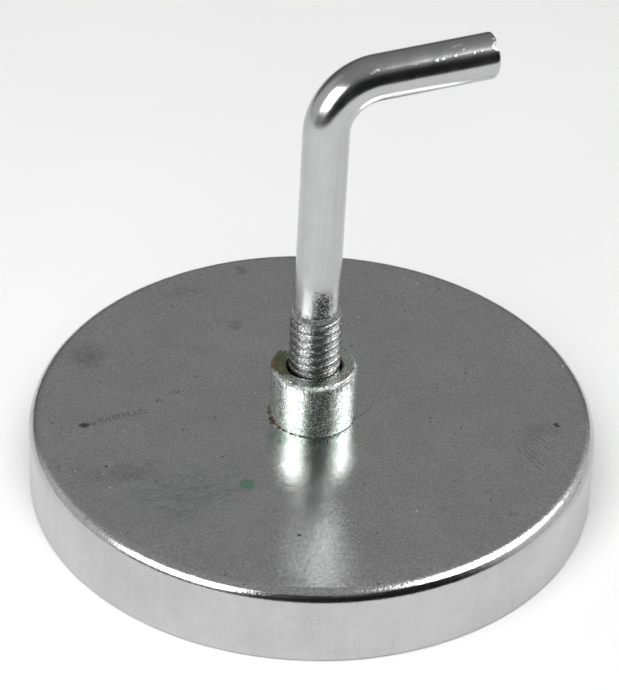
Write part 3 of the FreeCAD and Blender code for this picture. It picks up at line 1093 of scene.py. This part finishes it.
def sector(g, level, azimuth, half_width, blur):
    """1 inside a range of azimuths of the room, in degrees, fading to 0 over twice the blur."""
    towards = g.vector("DOT_PRODUCT", level, tuple(from_camera_side(azimuth, 0)))
    return g.remap(towards, math.cos(math.radians(half_width + blur)),
                   math.cos(math.radians(half_width - blur)), smooth=True)


def under(g, z, low, high):
    """1 below the lower elevation of the room, in degrees, and 0 above the higher one."""
    return g.remap(z, math.sin(math.radians(low)), math.sin(math.radians(high)), 1.0, 0.0, smooth=True)


def surroundings():
    """A grey room, paler higher up, with an unlit gap behind the camera and two pale walls.

    The camera itself sees plain white behind the floor.
    """
    world = bpy.data.worlds.new("room")
    bpy.context.scene.world = world
    world.use_nodes = True
    g = Graph(world.node_tree)
    ray = g.add("ShaderNodeTexCoord").outputs["Generated"]
    x, y, z = g.split(ray)
    level = g.vector("NORMALIZE", g.join(x, y, 0.0))
    brightness = g.total(g.remap(z, 0.6, 1.0, 0.0, ROOM_ZENITH - ROOM_LEVEL, smooth=True),
                        g.remap(z, 0.12, 0.54, ROOM_LOW_LEVEL, ROOM_LEVEL, smooth=True))
    patches = (
        (sector(g, level, 18, 48, 9), under(g, z, 34, 74), GAP_LEVEL),
        (sector(g, level, 108, 30, 12), under(g, z, 40, 60), RIGHT_WALL_LEVEL),
        (sector(g, level, -97, 26, 10), under(g, z, 30, 58), LEFT_WALL_LEVEL))
    for across, lower, strength in patches:
        share = g.product(across, lower)
        kept = g.product(brightness, g.math("SUBTRACT", 1.0, share))
        brightness = g.total(kept, g.product(share, strength))
    seen = g.add("ShaderNodeLightPath").outputs["Is Camera Ray"]
    brightness = g.total(g.product(brightness, g.math("SUBTRACT", 1.0, seen)), seen)
    background = g.add("ShaderNodeBackground")
    g.fill(background, Color=(1.0, 1.0, 1.0), Strength=brightness)
    g.end("ShaderNodeOutputWorld", background)


def floor():
    """A round pale sheet just under the pot's lip, reaching further behind the object than in front."""
    shape = bmesh.new()
    bmesh.ops.create_circle(shape, cap_ends=True, radius=FLOOR_RADIUS, segments=160)
    mesh = bpy.data.meshes.new("floor")
    shape.to_mesh(mesh)
    shape.free()
    sheet = add_object("floor", mesh)
    sheet.location = (0, FLOOR_BACK, CUP_LOW.z - 0.02 * MM)
    mesh.materials.append(material(pale_floor))


def camera():
    """The viewpoint: azimuth, elevation, roll and distance about a point near the origin."""
    level_right = Vector((math.cos(CAMERA_AZIMUTH), math.sin(CAMERA_AZIMUTH), 0))
    back = from_camera_side(0, math.degrees(CAMERA_ELEVATION))
    upward = back.cross(level_right)
    right = level_right * math.cos(CAMERA_ROLL) + upward * math.sin(CAMERA_ROLL)
    turned_up = upward * math.cos(CAMERA_ROLL) - level_right * math.sin(CAMERA_ROLL)
    lens = bpy.data.cameras.new("camera")
    lens.lens = CAMERA_LENS
    lens.sensor_width = 36.0
    lens.clip_start = 0.01
    eye = add_object("camera", lens)
    place = level_right * CAMERA_ASIDE + upward * CAMERA_ABOVE + back * CAMERA_DISTANCE
    eye.matrix_world = Matrix.Translation(place) @ Matrix((right, turned_up, back)).transposed().to_4x4()
    bpy.context.scene.camera = eye


# ---- the scene

def turned_piece(name, profile, segments, shape, paint, replaced=(), crease=35):
    vertices, faces = lathe(profile, segments, shape)
    return make_piece(name, vertices, faces, paint, "base", replaced, crease)


def build_base():
    turned_piece("cup_shell", cup_profile(), 288, cup_shape, plated_cup, ["magnet_cup"])
    turned_piece("boss", boss_profile(), 384, boss_shape, plated_boss, ["threaded_bush"])
    turned_piece("magnet_ring", magnet_profile(), 288, magnet_shape, ferrite, ["ring_magnet"])
    turned_piece("glue_film", film_profile(), 240, film_shape, glue, ["bond_film"])
    turned_piece("potting", potting_profile(), 360, potting_shape, resin, ["rim_potting"])
    turned_piece("foot_deposit", deposit_profile(), 540, deposit_shape, seam_deposit, crease=60)


def build_rod():
    vertices, straight, faces = rod()
    piece = make_piece("rod", vertices, faces, zinc_rod, "hook", ["hook_rod"], 40)
    attribute = piece.data.attributes.new(STRAIGHT_PLACE, "FLOAT_VECTOR", "POINT")
    attribute.data.foreach_set("vector", (np.array(straight, dtype=float) / MM).ravel())


def build_stage():
    floor()
    surroundings()
    for name, azimuth, elevation, width, height, radiance in REFLECTED_BOXES:
        towards = from_camera_side(azimuth, elevation)
        box = soft_box(name, towards, BOX_DISTANCE, width, height, radiance)
        box.visible_diffuse = False
    towards = from_camera_side(FILL_AZIMUTH, FILL_ELEVATION)
    fill = soft_box("fill", towards, FILL_DISTANCE, FILL_SIZE, FILL_SIZE, FILL_RADIANCE)
    fill.visible_glossy = False
    camera()
    bpy.context.scene.view_settings.view_transform = "Standard"


build_base()
build_rod()
build_stage()
